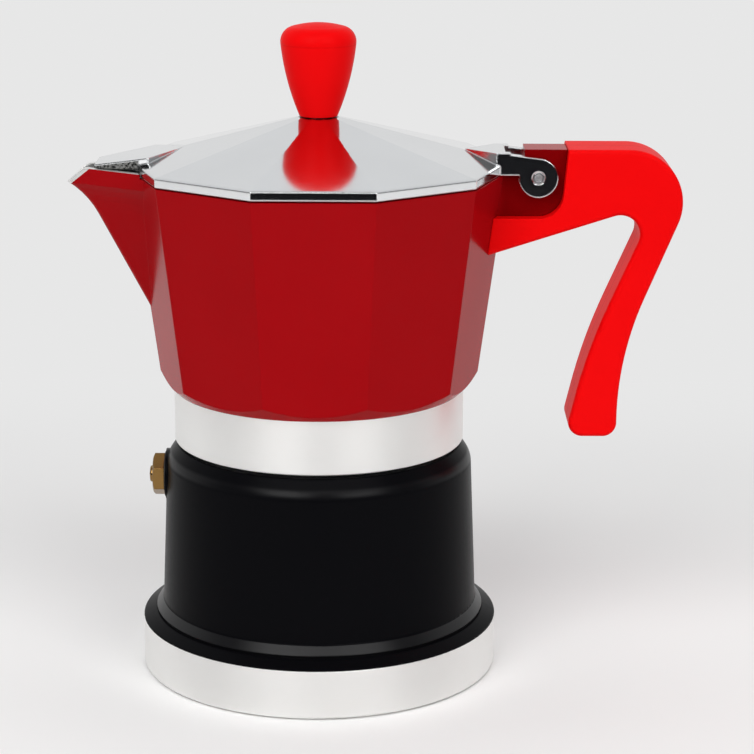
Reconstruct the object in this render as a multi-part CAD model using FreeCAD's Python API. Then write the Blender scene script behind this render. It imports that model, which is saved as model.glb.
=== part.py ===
import FreeCAD, Part
import math
import os

# A three-cup stovetop coffee pot. Millimetres and degrees, Z up, the origin on the
# pot's axis at the base. The spout points along -X and the handle along +X.

# Ten flat facets run round the jug and the lid, with a corner at the spout and the handle.
FACETS = 10

# Clearances that the fits share.
FIT = 0.05
RUN_FIT = 0.05
BODY_GAP = 0.3

# Boiler: a wide turned foot, a flared skirt, a plain wall and a neck for the thread.
FOOT_R = 45.0
FOOT_H = 12.7
FOOT_EDGE = 0.5
LEDGE_R = 41.8
LEDGE_H = 1.65
GROOVE_W = 0.75
GROOVE_D = 0.6
FLARE_LIP = 0.15
FLARE_H = 2.3
FLARE_BLEND = 1.0
WALL_LOW_R = 39.9
WALL_TOP_R = 38.25
WALL_T = 2.4
BOILER_H = 58.0
SHOULDER_H = 3.7
SHOULDER_IN = 2.65
SHOULDER_ROUND = 5.0
SHOULDER_EDGE = 0.5
SHOULDER_T = 3.0
SHOULDER_HOLLOW_R = 2.6
FLOOR_T = 4.0
FLOOR_ROUND = 6.0
NECK_R = 33.0
NECK_T = 2.8
NECK_H = 10.0
NECK_EDGE = 0.5

# Steel disc let into the underside of the foot.
DISC_R = 39.0
DISC_T = 2.0
DISC_PROUD = 0.3
DISC_EDGE = 0.4

# Pressure valve on the spout side of the boiler wall.
VALVE_DROP = 9.5
VALVE_HEX_R = 5.45
VALVE_HEX_H = 3.0
VALVE_HEX_CHAMFER = 0.45
VALVE_SHANK_R = 3.4
VALVE_SHANK_L = 6.5
VALVE_CHAMBER_R = 2.3
VALVE_INLET_R = 1.0
VALVE_INLET_L = 1.4
VALVE_WASHER_T = 0.3
VALVE_WASHER_LIP = 0.3
VALVE_BOSS_LIP = 0.8
VALVE_BOSS_PROUD = 0.1
STEM_R = 1.0
STEM_PROUD = 1.1
POPPET_HEAD_T = 1.0
RETAINER_T = 1.3
NOSE_R = 2.1
NOSE_H = 0.9
NOSE_EDGE = 0.5
SPRING_WIRE_R = 0.2
SPRING_TURNS = 5

# Coffee funnel hung from the boiler's neck, with its perforated floor.
FUNNEL_FLANGE_T = 1.0
FUNNEL_T = 0.8
FUNNEL_CLEAR = 0.4
BASKET_D = 17.0
BASKET_LEDGE = 1.6
FUNNEL_CONE_H = 9.0
TUBE_R = 5.5
TUBE_LIFT = 4.0

# Perforated plates: rings of holes round a middle hole.
PLATE_T = 0.8
HOLE_R = 0.9
HOLE_RINGS = 4
PLATE_RIM = 4.0

# Gasket under the jug.
GASKET_T = 2.4
GASKET_W = 6.5

# Jug: turned collar below, ten-sided taper above, column inside.
COLLAR_R = 36.3
COLLAR_T = 2.1
COLLAR_GAP = 1.0
COLLAR_EDGE = 0.4
COLLAR_STEP = 0.4
CHAMFER_ANGLE = 46.5
WELL_D = 1.2
JUG_FLOOR_T = 2.2
JUG_H = 54.05
JUG_LOW_R = 39.44
JUG_TOP_R = 46.7
JUG_WALL = 2.2
FACET_ROUND = 0.6
COLUMN_LOW_R = 7.5
COLUMN_TOP_R = 5.2
COLUMN_H = 42.0
COLUMN_BORE_R = 3.2
COLUMN_CAP = 2.5
OUTLET_R = 2.2

# Spout: a V-shaped beak whose keel runs straight up and then curls out to the tip.
TIP_REACH = 15.2
TIP_DROP = 2.75
LIP_RISE = 1.15
LIP_REACH = 10.6
LIP_ROUND = 3.0
KEEL_ANGLE = 62.0
KEEL_END_ANGLE = 32.0
KEEL_CURVE_R = 21.0
KEEL_STEPS = 5
KEEL_ROUND = 2.6
SPOUT_WALL = 1.9
SPOUT_HALF_ANGLE = 32.6

# Lid: a shallow ten-sided roof with a rim, a hood over the spout and two hinge ears.
LID_GAP = 0.35
LID_OVERHANG = 0.12
LID_RIM_H = 2.4
LID_RIM_EDGE = 0.3
LID_RISE = 10.8
LID_T = 1.6
PAD_R = 4.6
PAD_H = 0.2
HOOD_RUN = 15.0
HOOD_HALF_W = 10.3
HOOD_FLARE_RUN = 9.2
HOOD_SETBACK = 7.4
HOOD_LIP = 1.0
HOOD_PITCH = 10.0
HOOD_T = 1.3
HOOD_EDGE_T = 0.8
ROOF_RUN = 10.8
ROOF_FLARE_RUN = 7.4
ROOF_RISE = 3.0
EAR_T = 2.6
EAR_R = 4.8

# Hinge pin behind the jug.
PIN_R = 1.5
PIN_REACH = 7.0
PIN_DROP = 0.35
PIN_DIMPLE_R = 0.8
PIN_DIMPLE_D = 0.7

# Knob and the screw that holds it.
KNOB_H = 22.6
KNOB_BASE_R = 4.7
KNOB_SIDE_R = 7.95
KNOB_SIDE_H = 10.0
KNOB_R = 9.24
KNOB_WIDE_H = 17.5
KNOB_CROWN_R = 6.0
KNOB_CROWN_DROP = 0.8
SCREW_R = 1.9
SCREW_L = 11.0
SCREW_HEAD_R = 3.6
SCREW_HEAD_T = 2.2
SCREW_SLOT_W = 0.9
SCREW_SLOT_D = 1.0
KNOB_WASHER_T = 0.8
KNOB_WASHER_LIP = 0.8

# Handle: an arm that holds the jug's corner and a grip that leans out at the top.
HANDLE_T = 16.0
HANDLE_EDGE = 1.2
HANDLE_RISE = 6.65
HANDLE_TOP_ROUND = 13.2
ARM_DROP = 18.0
ARM_SLOPE = 17.8
GRIP_REACH = 27.7
GRIP_STRAIGHT = 1.36
GRIP_LEAN = 22.4
GRIP_BEND_R = 80.0
GRIP_DROP = 65.55
GRIP_END_R = 3.5
INNER_REACH = 20.0
INNER_BEND_DROP = 43.05
INNER_LEAN_LOW = 13.2
INNER_LEAN_TOP = 23.5
INNER_BEND_R = 140.0
CROWN_R = 4.8
BRACKET_T = 9.2
WEB_GAP = 0.4
WEB_DROP = 0.25
TONGUE_SETBACK = 3.3
TONGUE_STEP = 0.4
SHOULDER_SETBACK = 7.2
SHOULDER_SLANT = 1.6
RECESS_DEPTH = 10.2
RECESS_ROUND = 6.0

# Hinge bracket on the jug's corner, and the tab behind it that carries the handle.
TENON_T = 4.4
TENON_L = 6.0
TENON_H = 7.0
TENON_DROP = 4.0
TENON_ROUND = 1.0
BRACKET_ROOT = 5.0

# Heights and radii that follow from the sizes above.
NECK_TOP = BOILER_H + NECK_H
VALVE_Z = BOILER_H - VALVE_DROP
NECK_BORE = NECK_R - NECK_T
FLANGE_TOP = NECK_TOP + FUNNEL_FLANGE_T
GASKET_Z = FLANGE_TOP + BODY_GAP
FILTER_Z = GASKET_Z + GASKET_T
SEAT_Z = FILTER_Z + PLATE_T + BODY_GAP
COLLAR_Z = BOILER_H + COLLAR_GAP
COLLAR_TOP = SEAT_Z - COLLAR_STEP
COLLAR_BORE = COLLAR_R - COLLAR_T
GASKET_R = COLLAR_BORE - BODY_GAP
JUG_FLOOR = SEAT_Z + WELL_D + JUG_FLOOR_T
RIM_Z = COLLAR_TOP + JUG_H
LIP_Z = RIM_Z + LIP_RISE
TIP_X = JUG_TOP_R + TIP_REACH
TIP_Z = RIM_Z - TIP_DROP
LID_Z = RIM_Z + LID_GAP
LID_TOP = LID_Z + LID_RIM_H
LID_R = JUG_TOP_R + LID_OVERHANG
PAD_Z = LID_TOP + LID_RISE + PAD_H
PIN_X = JUG_TOP_R + PIN_REACH
PIN_Z = RIM_Z - PIN_DROP
EAR_IN = BRACKET_T / 2 + WEB_GAP
EAR_OUT = EAR_IN + EAR_T
WEB_TOP = RIM_Z - WEB_DROP
TONGUE_X = PIN_X - TONGUE_SETBACK
VALVE_SHAFT_END = VALVE_HEX_H + VALVE_WASHER_T
ACROSS = math.cos(math.pi / FACETS)

V = FreeCAD.Vector
UP = V(0, 0, 1)


def outline(corners):
    """Closed face in the XZ plane, from corners (x, z, rounding)."""
    cuts = []
    for i, (x, z, rounding) in enumerate(corners):
        here = V(x, 0, z)
        back = V(corners[i - 1][0], 0, corners[i - 1][1]) - here
        ahead = corners[(i + 1) % len(corners)]
        on = V(ahead[0], 0, ahead[1]) - here
        back.normalize()
        on.normalize()
        half = back.getAngle(on) / 2
        reach = rounding / math.tan(half)
        middle = (back + on).normalize() * (rounding / math.sin(half) - rounding)
        cuts.append((here + back * reach, here + middle, here + on * reach, rounding))
    edges = []
    for i, (start, middle, end, rounding) in enumerate(cuts):
        if rounding:
            edges.append(Part.Arc(start, middle, end).toShape())
        edges.append(Part.makeLine(end, cuts[(i + 1) % len(cuts)][0]))
    return Part.Face(Part.Wire(edges))


def turned(corners):
    """Solid turned about the pot's axis, from corners (radius, z, rounding)."""
    return outline(corners).revolve(V(0, 0, 0), UP, 360)


def plate(corners, y0, y1):
    """Solid of the outline in XZ, between two places along Y."""
    face = outline(corners)
    face.translate(V(0, y0, 0))
    return face.extrude(V(0, y1 - y0, 0))


def both_sides(corners, y0, y1):
    """The same plate on the near side and the far side."""
    return plate(corners, y0, y1).fuse(plate(corners, -y1, -y0))


def on_valve(corners):
    """Solid turned about the valve's axis, from corners (distance out, radius, rounding)."""
    placed = [(-out, VALVE_Z + radius, rounding) for out, radius, rounding in corners]
    return outline(placed).revolve(V(0, 0, VALVE_Z), V(1, 0, 0), 360)


def facet_ring(corner_r, z):
    """Ten-sided outline with its corners on the X axis."""
    turns = [2 * math.pi * i / FACETS for i in range(FACETS + 1)]
    return Part.makePolygon([V(corner_r * math.cos(t), corner_r * math.sin(t), z) for t in turns])


def facet_solid(low_r, low_z, top_r, top_z):
    """Ten-sided taper between two heights."""
    return Part.makeLoft([facet_ring(low_r, low_z), facet_ring(top_r, top_z)], True, True)


def ground_plan(points, z0, z1):
    """Upright solid on a plan of (x, y) points."""
    base = Part.makePolygon([V(x, y, z0) for x, y in points + points[:1]])
    return Part.Face(base).extrude(V(0, 0, z1 - z0))


def wall_r(z):
    """Outside radius of the boiler's wall at a height."""
    low = FOOT_H + LEDGE_H + GROOVE_W + FLARE_H
    return WALL_LOW_R + (WALL_TOP_R - WALL_LOW_R) * (z - low) / (BOILER_H - low)


def jug_r(z):
    """Corner radius of the jug's taper at a height."""
    return JUG_LOW_R + (JUG_TOP_R - JUG_LOW_R) * (z - COLLAR_TOP) / JUG_H


def jug_taper(z0, z1, offset):
    """The jug's taper between two heights, moved out from its facets by an offset."""
    more = offset / ACROSS
    return facet_solid(jug_r(z0) + more, z0, jug_r(z1) + more, z1)


def boiler():
    floor_z = DISC_T + FLOOR_T
    ledge_z = FOOT_H + LEDGE_H
    flare_z = ledge_z + GROOVE_W
    groove_r = LEDGE_R - GROOVE_D
    wall_end = BOILER_H - SHOULDER_H
    hollow_top = BOILER_H - SHOULDER_T
    shell = turned([
        (0, DISC_T, 0), (DISC_R + FIT, DISC_T, 0), (DISC_R + FIT, DISC_PROUD, FOOT_EDGE),
        (FOOT_R, DISC_PROUD, FOOT_EDGE), (FOOT_R, FOOT_H, FOOT_EDGE), (LEDGE_R, ledge_z, 0),
        (groove_r, ledge_z, 0), (groove_r, flare_z, 0), (LEDGE_R - FLARE_LIP, flare_z, 0),
        (WALL_LOW_R, flare_z + FLARE_H, FLARE_BLEND), (wall_r(wall_end), wall_end, SHOULDER_ROUND),
        (wall_r(wall_end) - SHOULDER_IN, BOILER_H, SHOULDER_EDGE), (NECK_R, BOILER_H, 0),
        (NECK_R, NECK_TOP, NECK_EDGE), (NECK_BORE, NECK_TOP, 0), (NECK_BORE, hollow_top, NECK_EDGE),
        (wall_r(hollow_top) - WALL_T, hollow_top, SHOULDER_HOLLOW_R),
        (wall_r(floor_z) - WALL_T, floor_z, FLOOR_ROUND), (0, floor_z, 0)])
    inside = wall_r(VALVE_Z) - WALL_T - VALVE_BOSS_LIP
    boss_r = VALVE_HEX_R + VALVE_WASHER_LIP + VALVE_BOSS_LIP
    seat = valve_seat()
    boss = on_valve([(inside, 0, 0), (inside, boss_r, 0), (seat, boss_r, 0), (seat, 0, 0)])
    spot_face = on_valve([(seat, 0, 0), (seat, boss_r, 0), (FOOT_R, boss_r, 0), (FOOT_R, 0, 0)])
    hole_r = VALVE_SHANK_R + FIT
    hole = on_valve([(inside, 0, 0), (inside, hole_r, 0), (FOOT_R, hole_r, 0), (FOOT_R, 0, 0)])
    return shell.fuse(boss).cut(spot_face).cut(hole).removeSplitter()


def induction_disc():
    return turned([(0, 0, 0), (DISC_R, 0, DISC_EDGE), (DISC_R, DISC_T, 0), (0, DISC_T, 0)])


def valve_seat():
    """Distance from the axis to the flat that the valve's washer sits on."""
    return wall_r(VALVE_Z) + VALVE_BOSS_PROUD


def valve_washer():
    inner = VALVE_SHANK_R + FIT
    outer = VALVE_HEX_R + VALVE_WASHER_LIP
    seat = valve_seat()
    return on_valve([(seat, inner, 0), (seat, outer, 0), (seat + VALVE_WASHER_T, outer, 0),
                     (seat + VALVE_WASHER_T, inner, 0)])


def valve_body():
    seat = valve_seat()
    face = seat + VALVE_SHAFT_END
    inner_end = seat - VALVE_SHANK_L
    turns = [2 * math.pi * i / 6 for i in range(7)]
    start = seat + VALVE_WASHER_T
    ring = Part.makePolygon([V(-start, VALVE_HEX_R * math.sin(t), VALVE_Z + VALVE_HEX_R * math.cos(t))
                             for t in turns])
    hexagon = Part.Face(ring).extrude(V(-VALVE_HEX_H, 0, 0))
    crown = on_valve([(start, 0, 0), (start, VALVE_HEX_R, 0), (face - VALVE_HEX_CHAMFER, VALVE_HEX_R, 0),
                      (face, VALVE_HEX_R - 2 * VALVE_HEX_CHAMFER, 0), (face, 0, 0)])
    shank = on_valve([(inner_end, 0, 0), (inner_end, VALVE_SHANK_R, 0), (start, VALVE_SHANK_R, 0),
                      (start, 0, 0)])
    bore = on_valve([(inner_end, 0, 0), (inner_end, VALVE_INLET_R, 0),
                     (inner_end + VALVE_INLET_L, VALVE_INLET_R, 0),
                     (inner_end + VALVE_INLET_L, VALVE_CHAMBER_R, 0),
                     (face, VALVE_CHAMBER_R, 0), (face, 0, 0)])
    return hexagon.common(crown).fuse(shank).cut(bore).removeSplitter()


def poppet_back():
    """Distance from the axis to the outer side of the poppet's head."""
    seat_face = valve_seat() - VALVE_SHANK_L + VALVE_INLET_L
    return seat_face + BODY_GAP + POPPET_HEAD_T


def valve_poppet():
    head_r = VALVE_CHAMBER_R - BODY_GAP
    back = poppet_back()
    tip = valve_seat() + VALVE_SHAFT_END + STEM_PROUD
    return on_valve([(back - POPPET_HEAD_T, 0, 0), (back - POPPET_HEAD_T, head_r, 0), (back, head_r, 0),
                     (back, STEM_R, 0), (tip, STEM_R, STEM_R * 0.9), (tip, 0, 0)])


def valve_retainer():
    face = valve_seat() + VALVE_SHAFT_END
    hole = STEM_R + RUN_FIT
    outer = VALVE_CHAMBER_R - FIT
    return on_valve([(face - RETAINER_T, hole, 0), (face - RETAINER_T, outer, 0), (face, outer, 0),
                     (face, NOSE_R, 0), (face + NOSE_H, NOSE_R, NOSE_EDGE), (face + NOSE_H, hole, 0)])


def valve_spring():
    coil_r = VALVE_CHAMBER_R - BODY_GAP - SPRING_WIRE_R - FIT
    start = poppet_back() + SPRING_WIRE_R + FIT
    end = valve_seat() + VALVE_SHAFT_END - RETAINER_T - SPRING_WIRE_R - FIT
    helix = Part.makeHelix((end - start) / SPRING_TURNS, end - start, coil_r)
    ring = Part.Wire(Part.makeCircle(SPRING_WIRE_R, V(coil_r, 0, 0), V(0, 1, 0)))
    coil = Part.Wire(helix.Edges).makePipeShell([ring], True, True)
    coil.rotate(V(0, 0, 0), V(0, 1, 0), -90)
    coil.translate(V(-start, 0, VALVE_Z))
    return coil


def funnel():
    outer = NECK_BORE - FUNNEL_CLEAR
    inner = outer - FUNNEL_T
    ledge = NECK_TOP - BASKET_D
    cone_end = ledge - FUNNEL_CONE_H
    end = DISC_T + FLOOR_T + TUBE_LIFT
    return turned([
        (inner, FLANGE_TOP, 0), (NECK_R - NECK_EDGE, FLANGE_TOP, 0), (NECK_R - NECK_EDGE, NECK_TOP, 0),
        (outer, NECK_TOP, 0), (outer, ledge - FUNNEL_T, FUNNEL_T), (TUBE_R, cone_end, FUNNEL_T),
        (TUBE_R, end, 0), (TUBE_R - FUNNEL_T, end, 0), (TUBE_R - FUNNEL_T, cone_end + FUNNEL_T, 0),
        (inner - BASKET_LEDGE, ledge, 0), (inner, ledge, 0)])


def perforated(radius, z):
    """Thin round plate with rings of holes inside a plain rim."""
    disc = Part.makeCylinder(radius, PLATE_T, V(0, 0, z))
    pitch = (radius - PLATE_RIM) / HOLE_RINGS
    holes = [Part.makeCylinder(HOLE_R, PLATE_T, V(0, 0, z))]
    for ring in range(1, HOLE_RINGS + 1):
        for i in range(6 * ring):
            turn = 2 * math.pi * i / (6 * ring)
            place = V(ring * pitch * math.cos(turn), ring * pitch * math.sin(turn), z)
            holes.append(Part.makeCylinder(HOLE_R, PLATE_T, place))
    return disc.cut(Part.makeCompound(holes))


def funnel_filter():
    return perforated(NECK_BORE - FUNNEL_CLEAR - FUNNEL_T - FIT, NECK_TOP - BASKET_D)


def gasket():
    return turned([(GASKET_R - GASKET_W, GASKET_Z, 0), (GASKET_R, GASKET_Z, FOOT_EDGE),
                   (GASKET_R, FILTER_Z, FOOT_EDGE), (GASKET_R - GASKET_W, FILTER_Z, 0)])


def filter_plate():
    return perforated(GASKET_R - GASKET_W / 2, FILTER_Z)


def keel_at_angle(angle):
    """Place on the keel's curled end, (distance out, z), where it has this slope."""
    here = math.radians(angle)
    end = math.radians(KEEL_END_ANGLE)
    out = TIP_X - KEEL_CURVE_R * (math.sin(here) - math.sin(end))
    return out, TIP_Z - KEEL_CURVE_R * (math.cos(end) - math.cos(here))


def beak_section(out, z, wall):
    """Level V-shaped section of the spout, rounded at the keel and thinned by a wall."""
    radius = KEEL_ROUND - wall
    middle = out - KEEL_ROUND
    root = JUG_LOW_R * ACROSS - JUG_WALL - KEEL_ROUND
    side = math.radians(SPOUT_HALF_ANGLE)
    touch_x = middle + radius * math.sin(side)
    touch_y = radius * math.cos(side)
    root_y = touch_y + (touch_x - root) * math.tan(side)
    nose = Part.Arc(V(-touch_x, touch_y, z), V(-middle - radius, 0, z), V(-touch_x, -touch_y, z))
    return Part.Wire([
        Part.makeLine(V(-root, root_y, z), V(-touch_x, touch_y, z)), nose.toShape(),
        Part.makeLine(V(-touch_x, -touch_y, z), V(-root, -root_y, z)),
        Part.makeLine(V(-root, -root_y, z), V(-root, root_y, z))])


def beak(wall):
    """The spout's outside, or with a wall its channel."""
    start_out, start_z = keel_at_angle(KEEL_ANGLE)
    low_out = JUG_LOW_R - KEEL_ROUND
    low_z = start_z - (start_out - low_out) * math.tan(math.radians(KEEL_ANGLE))
    sections = [beak_section(low_out, low_z, wall)]
    for step in range(KEEL_STEPS + 1):
        angle = KEEL_ANGLE + (KEEL_END_ANGLE - KEEL_ANGLE) * step / KEEL_STEPS
        out, z = keel_at_angle(angle)
        sections.append(beak_section(out, z, wall))
    top = beak_section(TIP_X, LIP_Z + LIP_RISE, wall)
    curl = Part.makeLoft(sections, True, True)
    return curl.fuse(Part.makeLoft([sections[-1], top], True, True))


def recess_plate(extra, top, half):
    """Outline of the handle's recess as a plate up to a height; extra is room below and behind it."""
    low = RIM_Z - RECESS_DEPTH - extra
    full = RIM_Z + HANDLE_RISE - low
    back = PIN_X + SHOULDER_SETBACK - SHOULDER_SLANT + extra
    root = JUG_TOP_R - 2 * BRACKET_ROOT
    return plate([(root, low, 0), (back, low, RECESS_ROUND),
                  (back + SHOULDER_SLANT * (top - low) / full, top, 0), (root, top, 0)], -half, half)


def tenon(extra):
    """Tab behind the bracket; with extra room it is the pocket in the handle."""
    start = PIN_X
    end = PIN_X + SHOULDER_SETBACK + TENON_L + extra
    low = RIM_Z - TENON_DROP - TENON_H / 2 - extra
    top = low + TENON_H + 2 * extra
    half = TENON_T / 2 + extra
    corners = [(start, low, 0), (end, low, TENON_ROUND), (end, top, TENON_ROUND), (start, top, 0)]
    return plate(corners, -half, half)


def bracket():
    """Hinge bracket on the jug's corner, with the tab that carries the handle."""
    top = RIM_Z + HANDLE_RISE - TONGUE_STEP
    body = recess_plate(0, top, BRACKET_T / 2)
    front = Part.makeBox(TONGUE_X, BRACKET_T, HANDLE_RISE + RECESS_DEPTH, V(0, -BRACKET_T / 2, WEB_TOP))
    return body.cut(front).fuse(tenon(0))


def collector():
    taper = jug_taper(COLLAR_TOP - COLLAR_EDGE, RIM_Z, 0)
    upright = [e for e in taper.Edges if abs(e.Vertexes[0].Z - e.Vertexes[-1].Z) > JUG_H / 2]
    taper = taper.makeFillet(FACET_ROUND, upright)
    collar = Part.makeCylinder(COLLAR_R, COLLAR_TOP - COLLAR_Z, V(0, 0, COLLAR_Z))
    widen = JUG_H * math.tan(math.radians(CHAMFER_ANGLE))
    envelope = turned([(0, COLLAR_Z, 0), (COLLAR_R, COLLAR_Z, COLLAR_EDGE), (COLLAR_R, COLLAR_TOP, 0),
                       (COLLAR_R + widen, RIM_Z, 0), (0, RIM_Z, 0)])
    body = taper.fuse(collar).common(envelope)
    lip_x = JUG_TOP_R + LIP_REACH
    over = LIP_Z + LIP_RISE + KEEL_CURVE_R
    lip_trim = plate([(0, LIP_Z, 0), (-lip_x, LIP_Z, LIP_ROUND), (-TIP_X, TIP_Z, 0),
                      (-TIP_X - TIP_REACH, TIP_Z, 0), (-TIP_X - TIP_REACH, over, 0), (0, over, 0)],
                     -JUG_TOP_R, JUG_TOP_R)
    lid_room = LID_R + BODY_GAP / ACROSS
    rim_trim = facet_solid(lid_room, RIM_Z, lid_room, over)
    spout = beak(0).cut(lip_trim).cut(rim_trim)
    column_top = JUG_FLOOR + COLUMN_H
    column = turned([(0, SEAT_Z, 0), (COLUMN_LOW_R, SEAT_Z, 0), (COLUMN_LOW_R, JUG_FLOOR, 0),
                     (COLUMN_TOP_R, column_top, COLUMN_TOP_R / 2), (0, column_top, 0)])
    inside = jug_taper(JUG_FLOOR, over, -JUG_WALL)
    channel = beak(SPOUT_WALL).cut(Part.makeCylinder(JUG_TOP_R, JUG_FLOOR))
    jug = body.fuse(spout).fuse(bracket()).cut(inside).cut(channel)
    well_r = GASKET_R - GASKET_W
    below = turned([(0, COLLAR_Z, 0), (COLLAR_BORE, COLLAR_Z, 0), (COLLAR_BORE, SEAT_Z, 0),
                    (well_r, SEAT_Z, 0), (well_r, SEAT_Z + WELL_D, 0), (0, SEAT_Z + WELL_D, 0)])
    rise = Part.makeCylinder(COLUMN_BORE_R, column_top - COLUMN_CAP - SEAT_Z, V(0, 0, SEAT_Z))
    outlet = Part.makeCylinder(OUTLET_R, 4 * COLUMN_LOW_R,
                               V(0, -2 * COLUMN_LOW_R, column_top - COLUMN_CAP - OUTLET_R), V(0, 1, 0))
    pin_hole = Part.makeCylinder(PIN_R + FIT, BRACKET_T, V(PIN_X, -BRACKET_T / 2, PIN_Z), V(0, 1, 0))
    return jug.fuse(column).cut(below).cut(rise).cut(outlet).cut(pin_hole).removeSplitter()


def hood(inset, drop):
    """Raised cover over the spout; inset and dropped, it is the hollow below."""
    apex = LID_R - HOOD_RUN + 2 * inset
    corner = apex - inset + HOOD_FLARE_RUN - inset
    end = TIP_X - HOOD_SETBACK - inset
    end_half = (TIP_X - end - inset) * math.tan(math.radians(SPOUT_HALF_ANGLE)) + HOOD_LIP - inset
    half = HOOD_HALF_W - inset
    plan = [(-apex, 0), (-corner, -half), (-end, -end_half), (-end, end_half), (-corner, half)]
    end_top = LIP_Z + LID_GAP + HOOD_EDGE_T - drop
    pitch = math.tan(math.radians(HOOD_PITCH))
    under = LIP_Z + LID_GAP - drop
    slab = plate([(0, under, 0), (-TIP_X, under, 0), (-TIP_X, end_top - pitch * (TIP_X - end), 0),
                  (0, end_top + pitch * end, 0)], -LID_R, LID_R)
    return ground_plan(plan, LID_Z - drop, PAD_Z).common(slab)


def lid():
    rim = facet_solid(LID_R, LID_Z, LID_R, LID_TOP)
    rim = rim.makeChamfer(LID_RIM_EDGE, [e for e in rim.Edges if e.Vertexes[0].Z == e.Vertexes[-1].Z])
    roof = facet_solid(LID_R - LID_RIM_EDGE, LID_TOP, PAD_R, LID_TOP + LID_RISE)
    pad = Part.makeCylinder(PAD_R, PAD_H + LID_T, V(0, 0, PAD_Z - PAD_H - LID_T))
    hollow_r = LID_R - LID_T / ACROSS
    hollow = facet_solid(hollow_r, LID_TOP - LID_T, PAD_R, LID_TOP + LID_RISE - LID_T)
    hollow = hollow.fuse(facet_solid(hollow_r, LID_Z - LID_T, hollow_r, LID_TOP - LID_T))
    rear = LID_R - ROOF_RUN
    ear_start = rear + ROOF_FLARE_RUN
    roof_top = LID_TOP + ROOF_RISE
    back_roof = ground_plan([(rear, 0), (ear_start, -EAR_OUT), (LID_R, -EAR_OUT), (LID_R, EAR_OUT),
                             (ear_start, EAR_OUT)], LID_Z, roof_top)
    arm = both_sides([(ear_start, LID_Z, 0), (PIN_X, LID_Z, 0), (PIN_X, PIN_Z + EAR_R, 0),
                      (ear_start, roof_top, 0)], EAR_IN, EAR_OUT)
    discs = Part.makeCylinder(EAR_R, 2 * EAR_OUT, V(PIN_X, -EAR_OUT, PIN_Z), V(0, 1, 0))
    notch_x = PIN_X - math.hypot(TONGUE_SETBACK, RIM_Z + HANDLE_RISE - PIN_Z) - BODY_GAP
    notch = Part.makeBox(PIN_X, 2 * EAR_IN, 4 * EAR_R, V(notch_x, -EAR_IN, PIN_Z - 2 * EAR_R))
    shell = rim.fuse(roof).fuse(pad).fuse(hood(0, 0)).fuse(back_roof).cut(hollow).cut(hood(HOOD_T, HOOD_T))
    whole = shell.fuse(arm).fuse(discs).cut(notch)
    pin_hole = Part.makeCylinder(PIN_R + RUN_FIT, 2 * EAR_OUT, V(PIN_X, -EAR_OUT, PIN_Z), V(0, 1, 0))
    screw_hole = Part.makeCylinder(SCREW_R + FIT, PAD_Z, V(0, 0, 0))
    return whole.cut(pin_hole).cut(screw_hole).removeSplitter()


def knob():
    base = V(KNOB_BASE_R, 0, PAD_Z)
    side = V(KNOB_SIDE_R, 0, PAD_Z + KNOB_SIDE_H)
    widest = V(KNOB_R, 0, PAD_Z + KNOB_WIDE_H)
    crown_z = PAD_Z + KNOB_H - KNOB_CROWN_DROP
    crown = V(KNOB_CROWN_R, 0, crown_z)
    bulge = V((KNOB_R + KNOB_CROWN_R) / 2, 0, (widest.z + crown_z) / 2) + V(1, 0, 1) * KNOB_CROWN_DROP
    top = V(0, 0, PAD_Z + KNOB_H)
    ball_r = (KNOB_CROWN_R ** 2 + KNOB_CROWN_DROP ** 2) / (2 * KNOB_CROWN_DROP)
    dome = V(KNOB_CROWN_R / 2, 0, top.z - ball_r + math.sqrt(ball_r ** 2 - KNOB_CROWN_R ** 2 / 4))
    edges = [Part.Arc(base, side, widest).toShape(), Part.Arc(widest, bulge, crown).toShape(),
             Part.Arc(crown, dome, top).toShape(), Part.makeLine(top, V(0, 0, PAD_Z)),
             Part.makeLine(V(0, 0, PAD_Z), base)]
    solid = Part.Face(Part.Wire(edges)).revolve(V(0, 0, 0), UP, 360)
    return solid.cut(Part.makeCylinder(SCREW_R + FIT, screw_top() + FIT - PAD_Z, V(0, 0, PAD_Z)))


def lid_underside():
    """Height of the flat below the knob, inside the lid."""
    return LID_TOP + LID_RISE - LID_T


def screw_top():
    return lid_underside() - KNOB_WASHER_T + SCREW_L


def knob_washer():
    top = lid_underside()
    inner = SCREW_R + FIT
    outer = SCREW_HEAD_R + KNOB_WASHER_LIP
    return turned([(inner, top - KNOB_WASHER_T, 0), (outer, top - KNOB_WASHER_T, 0), (outer, top, 0),
                   (inner, top, 0)])


def knob_screw():
    head_top = lid_underside() - KNOB_WASHER_T
    head_low = head_top - SCREW_HEAD_T
    screw = turned([(0, head_low, 0), (SCREW_HEAD_R, head_low, SCREW_HEAD_T / 2),
                    (SCREW_HEAD_R, head_top, 0), (SCREW_R, head_top, 0),
                    (SCREW_R, screw_top(), 0), (0, screw_top(), 0)])
    slot = Part.makeBox(2 * SCREW_HEAD_R, SCREW_SLOT_W, SCREW_SLOT_D,
                        V(-SCREW_HEAD_R, -SCREW_SLOT_W / 2, head_low))
    return screw.cut(slot)


def hinge_pin():
    pin = Part.makeCylinder(PIN_R, 2 * EAR_OUT, V(PIN_X, -EAR_OUT, PIN_Z), V(0, 1, 0))
    for side in (-1, 1):
        dimple = Part.makeCone(PIN_DIMPLE_R, PIN_DIMPLE_R / 2, PIN_DIMPLE_D,
                               V(PIN_X, side * EAR_OUT, PIN_Z), V(0, -side, 0))
        pin = pin.cut(dimple)
    return pin


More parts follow.
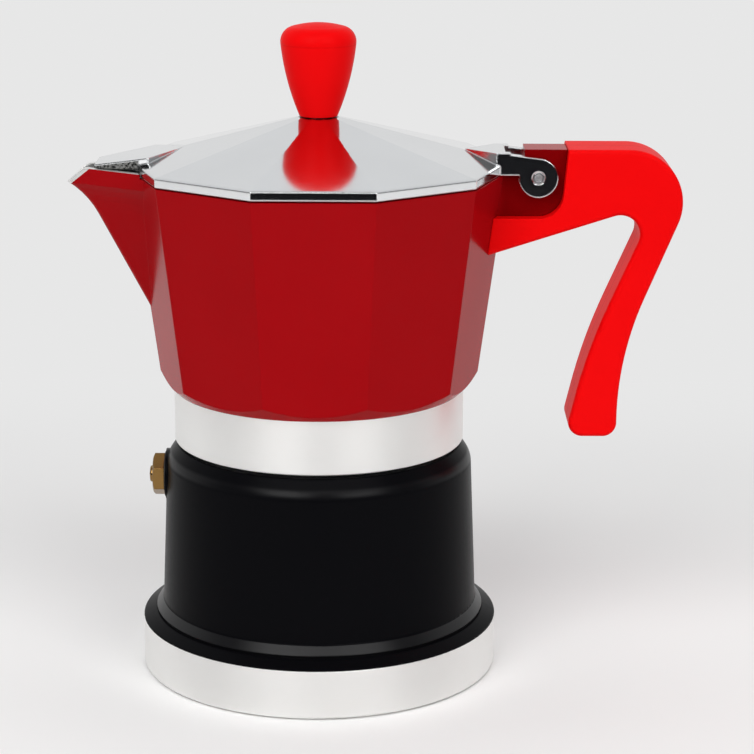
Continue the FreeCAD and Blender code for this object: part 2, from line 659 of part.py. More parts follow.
def handle():
    top = RIM_Z + HANDLE_RISE
    bend_x = JUG_TOP_R + GRIP_REACH
    lean = math.tan(math.radians(GRIP_LEAN))
    end_z = RIM_Z - GRIP_DROP
    bend_z = end_z + GRIP_END_R + GRIP_STRAIGHT + GRIP_BEND_R * math.tan(math.radians(GRIP_LEAN / 2))
    inner_x = JUG_TOP_R + INNER_REACH
    inner_z = RIM_Z - INNER_BEND_DROP
    lean_low = math.tan(math.radians(INNER_LEAN_LOW))
    lean_top = math.tan(math.radians(INNER_LEAN_TOP))
    slope = math.tan(math.radians(ARM_SLOPE))
    arm_z = RIM_Z - ARM_DROP
    crown_x = (inner_x + lean_top * (arm_z - slope * JUG_TOP_R - inner_z)) / (1 - lean_top * slope)
    crown_z = arm_z + slope * (crown_x - JUG_TOP_R)
    root = JUG_TOP_R - 2 * BRACKET_ROOT
    solid = plate([
        (root, top, 0), (bend_x + lean * (top - bend_z), top, HANDLE_TOP_ROUND),
        (bend_x, bend_z, GRIP_BEND_R), (bend_x, end_z, GRIP_END_R),
        (inner_x - lean_low * (inner_z - end_z), end_z, GRIP_END_R), (inner_x, inner_z, INNER_BEND_R),
        (crown_x, crown_z, CROWN_R), (root, arm_z - slope * (JUG_TOP_R - root), 0)],
        -HANDLE_T / 2, HANDLE_T / 2)
    rims = [e for e in solid.Edges if all(abs(abs(v.Y) - HANDLE_T / 2) < FIT for v in e.Vertexes)
            and e.Vertexes[0].Y * e.Vertexes[-1].Y > 0]
    solid = solid.makeFillet(HANDLE_EDGE, rims)
    over = top + HANDLE_RISE
    recess = recess_plate(FIT, over, HANDLE_T)
    jug_room = jug_taper(COLLAR_TOP, over, FIT)
    return solid.cut(recess).cut(jug_room).cut(tenon(FIT)).removeSplitter()


PIECES = [boiler, induction_disc, valve_body, valve_washer, valve_poppet, valve_spring, valve_retainer,
          funnel, funnel_filter, gasket, filter_plate, collector, lid, knob, knob_screw, knob_washer,
          hinge_pin, handle]

os.makedirs("parts", exist_ok=True)
for piece in PIECES:
    piece().exportStep("parts/" + piece.__name__ + ".step")
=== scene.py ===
import math

import bpy
from mathutils import Matrix, Vector


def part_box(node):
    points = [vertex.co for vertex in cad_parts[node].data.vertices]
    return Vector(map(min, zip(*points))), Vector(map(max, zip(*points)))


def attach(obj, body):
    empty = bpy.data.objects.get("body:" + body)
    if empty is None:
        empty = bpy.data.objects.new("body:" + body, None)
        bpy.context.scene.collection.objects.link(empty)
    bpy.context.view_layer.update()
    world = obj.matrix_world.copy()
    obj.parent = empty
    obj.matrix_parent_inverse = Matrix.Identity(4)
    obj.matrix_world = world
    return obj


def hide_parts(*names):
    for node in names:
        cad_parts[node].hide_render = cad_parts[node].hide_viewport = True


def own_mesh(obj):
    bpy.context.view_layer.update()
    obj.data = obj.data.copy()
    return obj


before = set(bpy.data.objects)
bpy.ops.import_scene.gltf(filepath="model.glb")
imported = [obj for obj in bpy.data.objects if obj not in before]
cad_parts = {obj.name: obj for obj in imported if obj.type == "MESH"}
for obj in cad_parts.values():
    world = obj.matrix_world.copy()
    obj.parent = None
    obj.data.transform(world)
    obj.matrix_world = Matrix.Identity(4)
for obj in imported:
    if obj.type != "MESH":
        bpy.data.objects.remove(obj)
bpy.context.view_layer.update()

MM = 0.001

# Colours of the coats, the painted shade on the hinge bracket's sides, and how much lighter the coats'
# spots are.
RED_COAT = (0.325, 0.0022, 0.0045, 1)
# Painted shade: darker red standing for the shadow on the hinge bracket's sides.
BRACKET_PAINTED_SHADE = (0.205, 0.001, 0.002, 1)
BLACK_COAT = (0.0028, 0.0028, 0.0036, 1)
COAT_SPOTS = 1.12

# How strongly the coats and the plastic mirror what is in front of them.
RED_SHINE = 0.03
BLACK_SHINE = 0.025
TURNED_SHINE = 0.25
BEND_SHARE = 0.4
PLASTIC_SHINE = 0.025

# Bare turned metal, and how far its turning lines draw out the highlights.
BARE_METALLIC = 0.9
TURNED_STRETCH = 0.5
ACROSS_LINES = 0.25

# Rounded look of the edges.
EDGE_RADIUS = 0.4 * MM
LID_EDGE_RADIUS = 0.5 * MM

# How far a face has to turn to look outwards, sideways or down, or to count as upright.
LOOKS_OUT = 0.05
LOOKS_SIDEWAYS = 0.95
LOOKS_DOWN = -0.05
STANDS_UPRIGHT = 0.5

# Where the finishes change on the boiler, read from the solids.
FOOT_TOP = 12.5 * MM
WALL_RADIUS = 37.6 * MM
FLARE_LOW = 15.0 * MM
FLARE_TOP = 17.2 * MM
BEND_LOW = 53.2 * MM
BEND_LOW_FULL = 54.2 * MM
BEND_HIGH_FULL = 55.0 * MM
BEND_HIGH = 56.0 * MM
SHOULDER_START = 56.0 * MM
NECK_START = 58.1 * MM
NECK_RADIUS = 33.2 * MM

# Where they change on the jug.
COLLAR_TOP = 72.4 * MM
INNER_RADIUS = 20.0 * MM
JUG_RIM = 126.0 * MM
LIP_START = -43.0 * MM
SPOUT_TIP = -61.9 * MM
SPOUT_TIP_HEIGHT = 123.7 * MM
SPOUT_SLOPE = 0.845
BARE_LIP = 1.2 * MM
# Painted shade on the bracket's sides fades in between these two.
BRACKET_SHADE_START = 42.7 * MM
BRACKET_SHADE_FULL = 46.2 * MM
BRACKET_START = 47.2 * MM

# Where they change on the lid, its knob and the handle.
HOOD_UNDER = 127.95 * MM
HOOD_END = -54.5 * MM
HOOD_SLOPE = 0.176
PANEL_FADE = 0.8 * MM
PANEL_TOP = 0.5 * MM
PANEL_FULL = 0.3 * MM
# Painted shade ring round the knob's foot, fading out between these two radii.
KNOB_FOOT = 4.7 * MM
KNOB_RING = 5.1 * MM
KNOB_SEAM_HEIGHT = 157.7 * MM
SEAM_HALF = 0.1 * MM
SEAM_CLEAR = 0.25 * MM
SEAM_DEPTH = 3.0

# Screw threads between the boiler's neck and the jug's collar.
THREAD_LEAD = 3.0 * MM
THREAD_TURNS = 2
THREAD_STEPS = 96
THREAD_BASE_HALF = 0.8 * MM
THREAD_CREST_HALF = 0.3 * MM
NECK_THREAD_ROOT = 32.9 * MM
NECK_THREAD_CREST = 33.75 * MM
NECK_THREAD_START = 60.2 * MM
COLLAR_THREAD_ROOT = 34.3 * MM
COLLAR_THREAD_CREST = 33.45 * MM
COLLAR_THREAD_START = 61.7 * MM
SMOOTH_ANGLE = math.radians(35)

# Valve spring: the wire's radius, its sides, its turns and the steps of each turn.
SPRING_WIRE = 0.2 * MM
WIRE_SIDES = 12
SPRING_TURNS = 5
SPRING_STEPS = 32

# Photograph's camera: place, slope, turn, roll and focal length in a 754 pixel frame.
CAMERA_PLACE = (15.98 * MM, -592.14 * MM, 227.54 * MM)
CAMERA_SLOPE = math.radians(14.528)
CAMERA_TURN = math.radians(0.137)
CAMERA_ROLL = 0.004
CAMERA_NEAREST = 10 * MM
FRAME_PIXELS = 754
FOCAL_PIXELS = 2431.6
SENSOR_WIDTH = 36.0

# Studio: the colours round the pot, and where the paper and the dark room in front end.
BACKDROP = (0.80, 0.80, 0.80, 1)
ROOM_DARK = (0.006, 0.006, 0.007, 1)
CEILING = (0.78, 0.79, 0.80, 1)
FLOOR_SIZE = 8.0
PAPER_FRONT = -300 * MM
ROOM_FADE = 120 * MM
ROOM_SPREAD = 0.6
GLOW_START = 30 * MM
GLOW_FULL = 280 * MM
PAPER_ROUGH = 0.8
CEILING_START = 0.1
CEILING_FULL = 0.9
ROOM_SIDE = -0.25
PALE_SIDE = 0.2


# Shader nodes

def node_maker(tree):
    """Function that adds a node to the tree with the settings given."""
    def node(kind, **settings):
        made = tree.nodes.new(kind)
        for key, value in settings.items():
            setattr(made, key, value)
        return made

    return node


def start_material(name):
    """New node material; gives the material, a node maker, a link maker and the shader."""
    material = bpy.data.materials.new(name)
    material.use_nodes = True
    tree = material.node_tree
    return material, node_maker(tree), tree.links.new, tree.nodes["Principled BSDF"]


def feed(link, socket, value):
    """Links a socket, or sets a plain number or colour."""
    if isinstance(value, (int, float, tuple)):
        socket.default_value = value
    else:
        link(value, socket)


def math_node(node, link, operation, first, second=None):
    """Math node fed by sockets or plain numbers."""
    made = node("ShaderNodeMath", operation=operation)
    feed(link, made.inputs[0], first)
    if second is not None:
        feed(link, made.inputs[1], second)
    return made.outputs[0]


def more(node, link, value, limit):
    return math_node(node, link, "GREATER_THAN", value, limit)


def less(node, link, value, limit):
    return math_node(node, link, "LESS_THAN", value, limit)


def both(node, link, first, second):
    return math_node(node, link, "MULTIPLY", first, second)


def either(node, link, first, second):
    return math_node(node, link, "MAXIMUM", first, second)


def ramp(node, link, value, low, high):
    """0 at low, 1 at high and smooth between."""
    made = node("ShaderNodeMapRange", interpolation_type="SMOOTHSTEP")
    link(value, made.inputs["Value"])
    made.inputs["From Min"].default_value = low
    made.inputs["From Max"].default_value = high
    return made.outputs[0]


def blend_number(node, link, mask, first, second):
    """First where the mask is 0, second where it is 1."""
    made = node("ShaderNodeMix")
    link(mask, made.inputs[0])
    feed(link, made.inputs[2], first)
    feed(link, made.inputs[3], second)
    return made.outputs[0]


def blend_colour(node, link, mask, first, second):
    """Colour version of blend_number."""
    made = node("ShaderNodeMix", data_type="RGBA")
    link(mask, made.inputs[0])
    feed(link, made.inputs[6], first)
    feed(link, made.inputs[7], second)
    return made.outputs[2]


def noise(node, link, scale, detail=2.0, stretch=(1, 1, 1)):
    """Noise in Object coordinates, squeezed by a stretch on each axis."""
    place = node("ShaderNodeTexCoord")
    mapping = node("ShaderNodeMapping")
    mapping.inputs["Scale"].default_value = stretch
    link(place.outputs["Object"], mapping.inputs["Vector"])
    made = node("ShaderNodeTexNoise")
    made.inputs["Scale"].default_value = scale
    made.inputs["Detail"].default_value = detail
    link(mapping.outputs["Vector"], made.inputs["Vector"])
    return made.outputs["Fac"]


def bump(node, link, shader, height, distance, strength):
    """Relief on the shader; gives its node, so that soft edges can lie under it."""
    made = node("ShaderNodeBump")
    made.inputs["Distance"].default_value = distance
    made.inputs["Strength"].default_value = strength
    link(height, made.inputs["Height"])
    link(made.outputs["Normal"], shader.inputs["Normal"])
    return made


def soft_edges(node, link, target, radius):
    """Rounded look on sharp edges."""
    made = node("ShaderNodeBevel", samples=6)
    made.inputs["Radius"].default_value = radius
    link(made.outputs["Normal"], target.inputs["Normal"])


def object_place(node, link):
    """X, Y and Z of the Object coordinates."""
    place = node("ShaderNodeTexCoord")
    parts = node("ShaderNodeSeparateXYZ")
    link(place.outputs["Object"], parts.inputs[0])
    return parts.outputs


def face_direction(node, link):
    """X, Y and Z parts of the way a face looks, each from -1 to 1."""
    place = node("ShaderNodeTexCoord")
    normal = node("ShaderNodeSeparateXYZ")
    link(place.outputs["Normal"], normal.inputs[0])
    return normal.outputs


def from_axis(node, link):
    """Level way from the pot's axis to the point."""
    place = node("ShaderNodeTexCoord")
    level = node("ShaderNodeVectorMath", operation="MULTIPLY")
    level.inputs[1].default_value = (1, 1, 0)
    link(place.outputs["Object"], level.inputs[0])
    return level.outputs["Vector"]


def axis_distance(node, link):
    """Distance from the pot's axis."""
    length = node("ShaderNodeVectorMath", operation="LENGTH")
    link(from_axis(node, link), length.inputs[0])
    return length.outputs["Value"]


def outward_faces(node, link):
    """Mask of the faces that look away from the pot's axis."""
    place = node("ShaderNodeTexCoord")
    unit = node("ShaderNodeVectorMath", operation="NORMALIZE")
    link(from_axis(node, link), unit.inputs[0])
    facing = node("ShaderNodeVectorMath", operation="DOT_PRODUCT")
    link(place.outputs["Normal"], facing.inputs[0])
    link(unit.outputs["Vector"], facing.inputs[1])
    return more(node, link, facing.outputs["Value"], LOOKS_OUT)


# Finishes of the castings

def below_spout_lip(node, link, x, z):
    """Mask of what lies under the bare edge that slopes up from the spout's tip."""
    along = math_node(node, link, "SUBTRACT", x, SPOUT_TIP)
    rise = math_node(node, link, "MULTIPLY", along, SPOUT_SLOPE)
    edge = math_node(node, link, "ADD", rise, SPOUT_TIP_HEIGHT)
    depth = math_node(node, link, "SUBTRACT", edge, z)
    return more(node, link, depth, BARE_LIP)


def jug_coat(node, link):
    """Mask of the jug's coat: outside, rim and hinge bracket, but not the collar or the lip."""
    place = object_place(node, link)
    x, z = place["X"], place["Z"]
    outside = more(node, link, axis_distance(node, link), INNER_RADIUS)
    skin = both(node, link, outward_faces(node, link), outside)
    rim = both(node, link, more(node, link, z, JUG_RIM), more(node, link, x, LIP_START))
    bracket = more(node, link, x, BRACKET_START)
    coated = either(node, link, skin, either(node, link, rim, bracket))
    above_collar = more(node, link, z, COLLAR_TOP)
    limits = both(node, link, below_spout_lip(node, link, x, z), above_collar)
    return both(node, link, coated, limits)


def boiler_coat(node, link):
    """Mask of the boiler's coat: wall, flare and shoulder, but not the foot or the neck."""
    z = object_place(node, link)["Z"]
    radius = axis_distance(node, link)
    wall = more(node, link, radius, WALL_RADIUS)
    beside_neck = more(node, link, radius, NECK_RADIUS)
    shoulder = both(node, link, more(node, link, z, SHOULDER_START), beside_neck)
    coated = either(node, link, outward_faces(node, link), either(node, link, wall, shoulder))
    band = both(node, link, more(node, link, z, FOOT_TOP), less(node, link, z, NECK_START))
    return both(node, link, coated, band)


def mottled(node, link, colour):
    """Slightly uneven tint of a coat."""
    lighter = tuple(COAT_SPOTS * part for part in colour[:3]) + (1,)
    return blend_colour(node, link, noise(node, link, scale=60, detail=3.0), colour, lighter)


def jug_tint(node, link):
    """Red coat, with painted shade: a deeper red on the sides of the hinge bracket, where the ear and
    handle shadow it.
    """
    x = object_place(node, link)["X"]
    bracket = ramp(node, link, x, BRACKET_SHADE_START, BRACKET_SHADE_FULL)
    sideways = math_node(node, link, "ABSOLUTE", face_direction(node, link)["Y"])
    sides = both(node, link, bracket, more(node, link, sideways, LOOKS_SIDEWAYS))
    return blend_colour(node, link, sides, mottled(node, link, RED_COAT), BRACKET_PAINTED_SHADE)


def boiler_tint(node, link):
    return mottled(node, link, BLACK_COAT)


def jug_shine(node, link):
    """The same shine all over, a little uneven."""
    return blend_number(node, link, noise(node, link, scale=30), RED_SHINE * 0.9, RED_SHINE * 1.1)


def boiler_shine(node, link):
    """Satin wall, glossier on the turned flare above the groove and on the shoulder's bend."""
    z = object_place(node, link)["Z"]
    flare = both(node, link, more(node, link, z, FLARE_LOW), less(node, link, z, FLARE_TOP))
    bend_start = ramp(node, link, z, BEND_LOW, BEND_LOW_FULL)
    bend_end = ramp(node, link, z, BEND_HIGH, BEND_HIGH_FULL)
    bend = both(node, link, both(node, link, bend_start, bend_end), BEND_SHARE)
    return blend_number(node, link, either(node, link, flare, bend), BLACK_SHINE, TURNED_SHINE)


def turned_lines(node, link):
    """Fine rings left by a lathe."""
    return noise(node, link, scale=1.0, detail=3.0, stretch=(30, 30, 4200))


def along_turning(node, link):
    """Direction of the turning lines, round the pot's axis."""
    place = node("ShaderNodeTexCoord")
    around = node("ShaderNodeVectorMath", operation="CROSS_PRODUCT")
    around.inputs[0].default_value = (0, 0, 1)
    link(place.outputs["Object"], around.inputs[1])
    moved = node("ShaderNodeVectorTransform", vector_type="VECTOR")
    moved.convert_from = "OBJECT"
    moved.convert_to = "WORLD"
    link(around.outputs["Vector"], moved.inputs[0])
    return moved.outputs[0]


def coated_casting(name, coat_tint, coat_rough, coat_shine, coat_mask):
    """Aluminium casting with a coat on part of its outside; the rest is bare turned metal."""
    material, node, link, shader = start_material(name)
    coated = coat_mask(node, link)
    lines = turned_lines(node, link)
    mottle = noise(node, link, scale=60, detail=3.0)
    bare = blend_colour(node, link, mottle, (0.87, 0.865, 0.85, 1), (0.93, 0.925, 0.91, 1))
    tint = blend_colour(node, link, coated, bare, coat_tint(node, link))
    link(tint, shader.inputs["Base Color"])
    link(blend_number(node, link, coated, BARE_METALLIC, 0.0), shader.inputs["Metallic"])
    link(coat_shine(node, link), shader.inputs["Specular IOR Level"])
    bare_rough = blend_number(node, link, lines, 0.42, 0.58)
    grain = noise(node, link, scale=900)
    painted_rough = blend_number(node, link, grain, coat_rough * 0.85, coat_rough * 1.15)
    rough = blend_number(node, link, coated, bare_rough, painted_rough)
    link(rough, shader.inputs["Roughness"])
    link(blend_number(node, link, coated, TURNED_STRETCH, 0.0), shader.inputs["Anisotropic"])
    shader.inputs["Anisotropic Rotation"].default_value = ACROSS_LINES
    link(along_turning(node, link), shader.inputs["Tangent"])
    height = blend_number(node, link, coated, lines, grain)
    ridges = bump(node, link, shader, height, distance=0.01 * MM, strength=0.5)
    soft_edges(node, link, ridges, EDGE_RADIUS)
    return material


def hood_walls(node, link, x, z, tilt):
    """Mask of the hood's upright side walls over the spout, below their polished top edge."""
    upright = less(node, link, math_node(node, link, "ABSOLUTE", tilt), STANDS_UPRIGHT)
    beyond = ramp(node, link, x, LIP_START, LIP_START - PANEL_FADE)
    along = math_node(node, link, "SUBTRACT", x, HOOD_END)
    rise = math_node(node, link, "MULTIPLY", along, HOOD_SLOPE)
    above_under = math_node(node, link, "SUBTRACT", z, HOOD_UNDER)
    height = math_node(node, link, "SUBTRACT", above_under, rise)
    below_edge = ramp(node, link, height, PANEL_TOP, PANEL_FULL)
    panel = both(node, link, below_edge, more(node, link, z, HOOD_UNDER))
    return both(node, link, both(node, link, upright, beyond), panel)


def polished_aluminium():
    """Mirror-like lid, duller inside and on the hood's side walls, with speckled painted shade on those
    walls and a painted shade ring round the knob's foot.
    """
    material, node, link, shader = start_material("polished_aluminium")
    cloud = noise(node, link, scale=45, detail=4.0)
    bright = blend_colour(node, link, cloud, (0.72, 0.73, 0.74, 1), (0.82, 0.83, 0.84, 1))
    # Painted shade and painted reflection: a dark red ring round the knob's foot stands for its shadow
    # and red reflection on the lid.
    clear_of_knob_shade = ramp(node, link, axis_distance(node, link), KNOB_FOOT, KNOB_RING)
    polished = blend_colour(node, link, clear_of_knob_shade, (0.11, 0.012, 0.014, 1), bright)
    place = object_place(node, link)
    tilt = face_direction(node, link)["Z"]
    # Painted shade: the hood's upright side walls are darkened and speckled, standing for the dark
    # opening under the hood.
    hood_wall_shade = hood_walls(node, link, place["X"], place["Z"], tilt)
    shade_speckle = ramp(node, link, noise(node, link, scale=1600), 0.4, 0.6)
    hood_shade_tint = blend_colour(node, link, shade_speckle, (0.02, 0.02, 0.02, 1), (0.30, 0.30, 0.29, 1))
    tint = blend_colour(node, link, hood_wall_shade, polished, hood_shade_tint)
    link(tint, shader.inputs["Base Color"])
    shader.inputs["Metallic"].default_value = 1.0
    haze = noise(node, link, scale=500, detail=3.0)
    mirror = blend_number(node, link, haze, 0.07, 0.12)
    dull = either(node, link, hood_wall_shade, less(node, link, tilt, LOOKS_DOWN))
    link(blend_number(node, link, dull, mirror, 0.4), shader.inputs["Roughness"])
    waves = noise(node, link, scale=120)
    ripple = bump(node, link, shader, waves, distance=0.02 * MM, strength=0.25)
    soft_edges(node, link, ripple, LID_EDGE_RADIUS)
    return material


# Finishes of the other pieces

def plain_aluminium():
    """Turned aluminium of the inner pieces and the threads."""
    material, node, link, shader = start_material("plain_aluminium")
    cloud = noise(node, link, scale=80, detail=3.0)
    tint = blend_colour(node, link, cloud, (0.68, 0.68, 0.69, 1), (0.78, 0.78, 0.79, 1))
    link(tint, shader.inputs["Base Color"])
    shader.inputs["Metallic"].default_value = 1.0
    rough = blend_number(node, link, turned_lines(node, link), 0.26, 0.42)
    link(rough, shader.inputs["Roughness"])
    return material


def red_plastic(name, seam_axis, seam_place, seam_red):
    """Satin moulded plastic with a faint parting line across one axis."""
    material, node, link, shader = start_material(name)
    along = object_place(node, link)[seam_axis]
    offset = math_node(node, link, "SUBTRACT", along, seam_place)
    away = math_node(node, link, "ABSOLUTE", offset)
    clear = ramp(node, link, away, SEAM_HALF, SEAM_CLEAR)
    grain = noise(node, link, scale=1400)
    shade = noise(node, link, scale=40)
    skin_red = blend_colour(node, link, shade, (0.84, 0.002, 0.003, 1), (0.90, 0.003, 0.004, 1))
    tint = blend_colour(node, link, clear, seam_red, skin_red)
    link(tint, shader.inputs["Base Color"])
    link(blend_number(node, link, grain, 0.34, 0.46), shader.inputs["Roughness"])
    shader.inputs["Specular IOR Level"].default_value = PLASTIC_SHINE
    sunk = math_node(node, link, "MULTIPLY", clear, SEAM_DEPTH)
    relief = math_node(node, link, "ADD", sunk, grain)
    skin = bump(node, link, shader, relief, distance=0.02 * MM, strength=0.4)
    soft_edges(node, link, skin, EDGE_RADIUS)
    return material


def metal(name, dark, light, smooth, rough):
    """Plain turned metal between two tints and two roughnesses."""
    material, node, link, shader = start_material(name)
    cloud = noise(node, link, scale=300, detail=3.0)
    link(blend_colour(node, link, cloud, dark, light), shader.inputs["Base Color"])
    shader.inputs["Metallic"].default_value = 1.0
    link(blend_number(node, link, cloud, smooth, rough), shader.inputs["Roughness"])
    waves = noise(node, link, scale=1500)
    ripple = bump(node, link, shader, waves, distance=0.01 * MM, strength=0.3)
    soft_edges(node, link, ripple, EDGE_RADIUS)
    return material


def rubber(name, dark, light):
    """Dull seal with a fine grain."""
    material, node, link, shader = start_material(name)
    grain = noise(node, link, scale=700, detail=3.0)
    link(blend_colour(node, link, grain, dark, light), shader.inputs["Base Color"])
    link(blend_number(node, link, grain, 0.55, 0.7), shader.inputs["Roughness"])
    bump(node, link, shader, grain, distance=0.03 * MM, strength=0.4)
    return material


FINISHES = {
    "collector": coated_casting("red_enamel", jug_tint, 0.14, jug_shine, jug_coat),
    "boiler": coated_casting("black_enamel", boiler_tint, 0.31, boiler_shine, boiler_coat),
    "lid": polished_aluminium(),
    "handle": red_plastic("red_handle_plastic", "Y", 0.0, (0.62, 0.001, 0.002, 1)),
    "knob": red_plastic("red_knob_plastic", "Z", KNOB_SEAM_HEIGHT, (0.82, 0.002, 0.003, 1)),
    "brass": metal("turned_brass", (0.19, 0.105, 0.03, 1), (0.28, 0.165, 0.058, 1), 0.13, 0.21),
    "steel": metal("bright_steel", (0.50, 0.50, 0.51, 1), (0.62, 0.62, 0.63, 1), 0.20, 0.32),
    "plain": plain_aluminium(),
    "washer": rubber("black_rubber", (0.012, 0.012, 0.012, 1), (0.022, 0.022, 0.022, 1)),
    "gasket": rubber("white_silicone", (0.74, 0.73, 0.69, 1), (0.82, 0.81, 0.78, 1)),
}

NODE_FINISH = {
    "boiler": "boiler",
    "induction_disc": "steel",
    "valve_body": "brass",
    "valve_washer": "washer",
    "valve_poppet": "brass",
    "valve_retainer": "brass",
    "funnel": "plain",
    "funnel_filter": "plain",
    "gasket": "gasket",
    "filter_plate": "plain",
    "collector": "collector",
    "lid": "lid",
    "knob": "knob",
    "knob_screw": "steel",
    "knob_washer": "steel",
    "hinge_pin": "steel",
    "handle": "handle",
}

for name, finish in NODE_FINISH.items():
    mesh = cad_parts[name].data
    mesh.materials.clear()
    mesh.materials.append(FINISHES[finish])


# Screw threads and valve spring

def wind_up(piece, axis, lead, turns, steps):
    """Winds an open outline round an axis into a closed helical piece."""
    wound = piece.modifiers.new("winding", "SCREW")
    wound.axis = axis
    wound.screw_offset = lead
    wound.iterations = turns
    wound.steps = steps
    wound.render_steps = steps
    wound.use_merge_vertices = False
    bpy.ops.object.modifier_apply(modifier=wound.name)
    bpy.ops.object.mode_set(mode="EDIT")
    bpy.ops.mesh.select_all(action="DESELECT")
    bpy.ops.mesh.select_non_manifold()
    bpy.ops.mesh.fill()
    bpy.ops.mesh.select_all(action="SELECT")
    bpy.ops.mesh.normals_make_consistent(inside=False)
    bpy.ops.object.mode_set(mode="OBJECT")
    bpy.ops.object.shade_smooth_by_angle(angle=SMOOTH_ANGLE)


def screw_thread(name, root, crest, start, body):
    """Helical ridge with a flat crest, from a square tapered towards its crest and wound up."""
    bpy.ops.object.select_all(action="DESELECT")
    bpy.ops.mesh.primitive_plane_add(size=1.0, location=(0, 0, 0))
    ridge = bpy.context.object
    ridge.name = name
    bpy.ops.object.mode_set(mode="EDIT")
    bpy.ops.mesh.select_all(action="SELECT")
    bpy.ops.transform.rotate(value=math.pi / 2, orient_axis="X", center_override=(0, 0, 0))
    bpy.ops.transform.resize(value=(abs(crest - root), 1, 2 * THREAD_BASE_HALF))
    bpy.ops.transform.translate(value=((root + crest) / 2, 0, start))
    bpy.ops.object.mode_set(mode="OBJECT")
    for vertex in ridge.data.vertices:
        vertex.select = abs(vertex.co.x - crest) < abs(vertex.co.x - root)
    for edge in ridge.data.edges:
        edge.select = all(ridge.data.vertices[i].select for i in edge.vertices)
    for face in ridge.data.polygons:
        face.select = False
    bpy.ops.object.mode_set(mode="EDIT")
    bpy.ops.transform.resize(value=(1, 1, THREAD_CREST_HALF / THREAD_BASE_HALF))
    bpy.ops.mesh.select_all(action="SELECT")
    bpy.ops.mesh.delete(type="ONLY_FACE")
    bpy.ops.object.mode_set(mode="OBJECT")
    wind_up(ridge, "Z", THREAD_LEAD, THREAD_TURNS, THREAD_STEPS)
    ridge.data.materials.append(FINISHES["plain"])
    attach(ridge, body)


def valve_coil():
    """Round wire wound about the valve's axis, in place of the valve spring piece."""
    low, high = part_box("valve_spring")
    length = high[0] - low[0]
    middle_height = (low[2] + high[2]) / 2
    winding_radius = (high[2] - low[2]) / 2 - SPRING_WIRE
    lead = (length - 2 * SPRING_WIRE) / SPRING_TURNS
    bpy.ops.object.select_all(action="DESELECT")
    bpy.ops.mesh.primitive_circle_add(vertices=WIRE_SIDES, radius=SPRING_WIRE, location=(0, 0, 0))
    coil = bpy.context.object
    coil.name = "valve_coil"
    bpy.ops.object.mode_set(mode="EDIT")
    bpy.ops.mesh.select_all(action="SELECT")
    bpy.ops.transform.translate(value=(0, winding_radius, 0))
    bpy.ops.object.mode_set(mode="OBJECT")
    wind_up(coil, "X", lead, SPRING_TURNS, SPRING_STEPS)
    bpy.ops.object.mode_set(mode="EDIT")
    bpy.ops.mesh.select_all(action="SELECT")
    bpy.ops.transform.translate(value=(low[0] + SPRING_WIRE, 0, middle_height))
    bpy.ops.object.mode_set(mode="OBJECT")
    coil.data.materials.append(FINISHES["steel"])
    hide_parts("valve_spring")
    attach(coil, "boiler")
    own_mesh(coil)


screw_thread("neck_thread", NECK_THREAD_ROOT, NECK_THREAD_CREST, NECK_THREAD_START,
             "boiler")
screw_thread("collar_thread", COLLAR_THREAD_ROOT, COLLAR_THREAD_CREST, COLLAR_THREAD_START,
             "jug")
valve_coil()


# Floor, light and camera

def pale_floor():
    """Sheet of pale paper, lit near the pot and even behind it; the pot mirrors a dark room in front."""
    bpy.ops.object.select_all(action="DESELECT")
    bpy.ops.mesh.primitive_plane_add(size=FLOOR_SIZE, location=(0, 0, 0))
    floor = bpy.context.object
    floor.name = "floor"
    material, node, link, shader = start_material("pale_paper")
    place = object_place(node, link)
    tint = noise(node, link, scale=1.5)
    paper = blend_colour(node, link, tint, (0.90, 0.895, 0.89, 1), (0.92, 0.915, 0.91, 1))
    sideways = math_node(node, link, "ABSOLUTE", place["X"])
    spread = math_node(node, link, "MULTIPLY", sideways, ROOM_SPREAD)
    forward = math_node(node, link, "ADD", place["Y"], spread)
    near_pot = ramp(node, link, forward, PAPER_FRONT - ROOM_FADE, PAPER_FRONT)
    sight = node("ShaderNodeLightPath")
    pale = either(node, link, near_pot, sight.outputs["Is Camera Ray"])
    link(blend_colour(node, link, pale, ROOM_DARK, paper), shader.inputs["Base Color"])
    shader.inputs["Roughness"].default_value = PAPER_ROUGH
    shader.inputs["Specular IOR Level"].default_value = 0.0
    glow = node("ShaderNodeEmission")
    glow.inputs["Color"].default_value = BACKDROP
    joined = node("ShaderNodeMixShader")
    link(ramp(node, link, place["Y"], GLOW_START, GLOW_FULL), joined.inputs[0])
    link(shader.outputs[0], joined.inputs[1])
    link(glow.outputs[0], joined.inputs[2])
    link(joined.outputs[0], material.node_tree.nodes["Material Output"].inputs["Surface"])
    floor.data.materials.append(material)


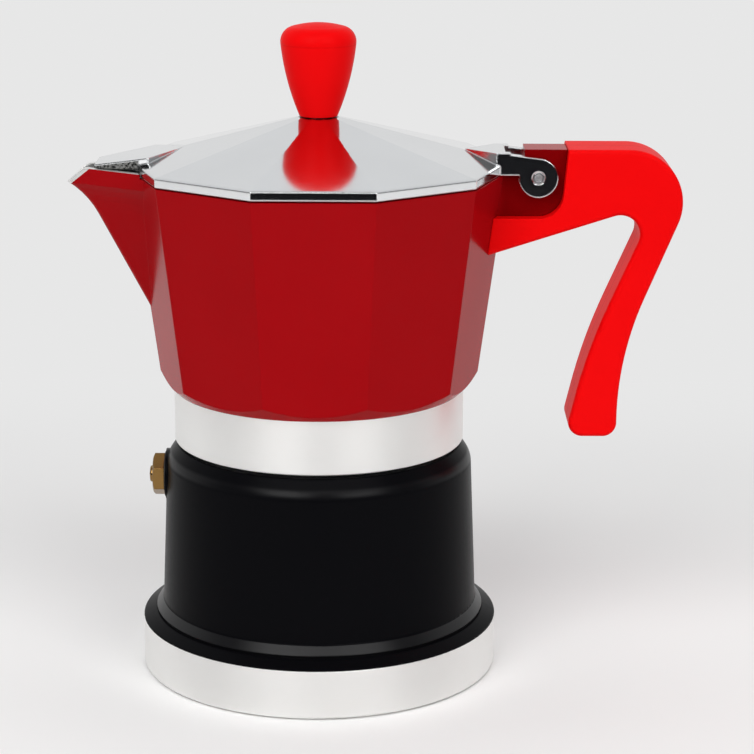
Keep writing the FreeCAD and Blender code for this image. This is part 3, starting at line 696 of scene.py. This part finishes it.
def studio_world():
    """Pale surroundings; what the pot mirrors is dark on the camera's side."""
    world = bpy.data.worlds.new("studio")
    bpy.context.scene.world = world
    world.use_nodes = True
    tree = world.node_tree
    node = node_maker(tree)
    link = tree.links.new
    place = node("ShaderNodeTexCoord")
    parts = node("ShaderNodeSeparateXYZ")
    link(place.outputs["Generated"], parts.inputs[0])
    high = ramp(node, link, parts.outputs["Z"], CEILING_START, CEILING_FULL)
    wall = blend_colour(node, link, high, BACKDROP, CEILING)
    away = ramp(node, link, parts.outputs["Y"], ROOM_SIDE, PALE_SIDE)
    sight = node("ShaderNodeLightPath")
    pale = either(node, link, away, sight.outputs["Is Camera Ray"])
    surround = blend_colour(node, link, pale, ROOM_DARK, wall)
    link(surround, tree.nodes["Background"].inputs["Color"])


def soft_lamp(name, place, target, size, power):
    """Rectangular lamp aimed at a point."""
    data = bpy.data.lights.new(name, "AREA")
    data.shape = "RECTANGLE"
    data.size, data.size_y = size
    data.energy = power
    lamp = bpy.data.objects.new(name, data)
    bpy.context.scene.collection.objects.link(lamp)
    lamp.location = place
    lamp.rotation_euler = (Vector(target) - Vector(place)).to_track_quat("-Z", "Y").to_euler()


def photo_camera():
    """Camera at the photograph's view."""
    data = bpy.data.cameras.new("photo_camera")
    data.sensor_width = SENSOR_WIDTH
    data.lens = SENSOR_WIDTH * FOCAL_PIXELS / FRAME_PIXELS
    data.clip_start = CAMERA_NEAREST
    camera = bpy.data.objects.new("photo_camera", data)
    bpy.context.scene.collection.objects.link(camera)
    turn = Matrix.Rotation(CAMERA_TURN, 4, "Z")
    slope = Matrix.Rotation(math.pi / 2 - CAMERA_SLOPE, 4, "X")
    roll = Matrix.Rotation(CAMERA_ROLL, 4, "Z")
    camera.matrix_world = Matrix.Translation(CAMERA_PLACE) @ turn @ slope @ roll
    bpy.context.scene.camera = camera


pale_floor()
studio_world()
soft_lamp("key_lamp", place=(-0.5, -1.1, 0.75), target=(0, 0, 0.08), size=(0.7, 0.5), power=6.5)
soft_lamp("fill_lamp", place=(0.7, -1.1, 0.7), target=(0, 0, 0.08), size=(0.7, 0.5), power=4.9)
soft_lamp("front_lamp", place=(0.0, -0.7, 1.1), target=(0, 0, 0.1), size=(2.0, 0.45), power=8.2)
photo_camera()
bpy.context.scene.view_settings.view_transform = "Standard"
